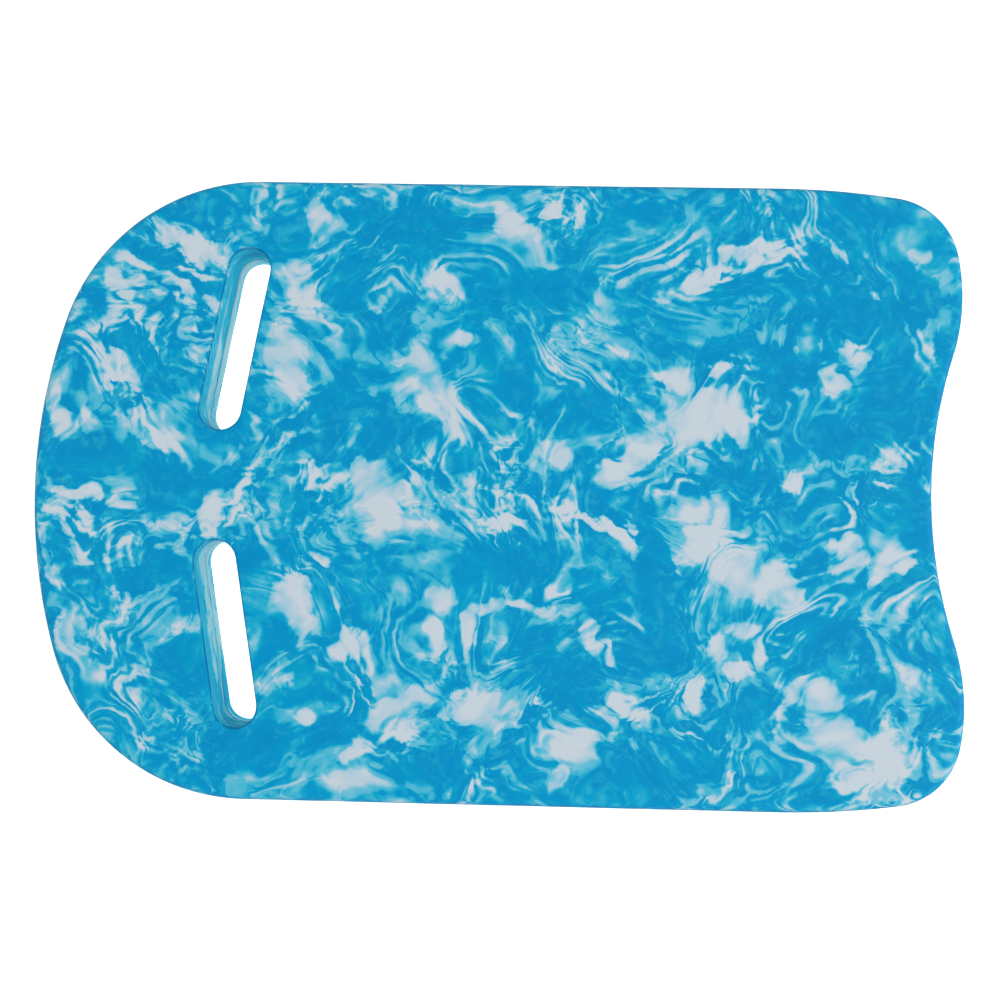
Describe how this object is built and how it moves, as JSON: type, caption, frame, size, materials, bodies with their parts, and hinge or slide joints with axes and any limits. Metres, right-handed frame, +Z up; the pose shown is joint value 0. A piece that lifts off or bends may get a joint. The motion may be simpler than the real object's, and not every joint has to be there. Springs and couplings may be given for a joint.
{
  "type": "swimming kickboard",
  "caption": "Flat marbled foam kickboard with a round nose, a hollowed tail and a pair of slanted hand slots cut through near the nose.",
  "frame": {"origin": "on the underside, midway along and midway across the board's overall box", "axes": "+X along the board from the round nose to the hollowed tail, +Y across it, +Z up out of the top face"},
  "size_m": [0.43, 0.288, 0.03],
  "materials": {
    "foam_top": "matte closed-cell foam with a smooth skin, bright blue marbled with white and teal",
    "foam_core": "matte closed-cell foam, blue marbled with white in streaks along the sheet",
    "foam_bottom": "matte closed-cell foam with a smooth skin, bright blue marbled with white and teal",
    "bond_film": "satin, translucent white adhesive"
  },
  "bodies": {
    "root": {"bottom_sheet": "foam_bottom", "lower_bond_film": "bond_film", "core_sheet": "foam_core", "upper_bond_film": "bond_film", "top_sheet": "foam_top"}
  },
  "joints": []
}
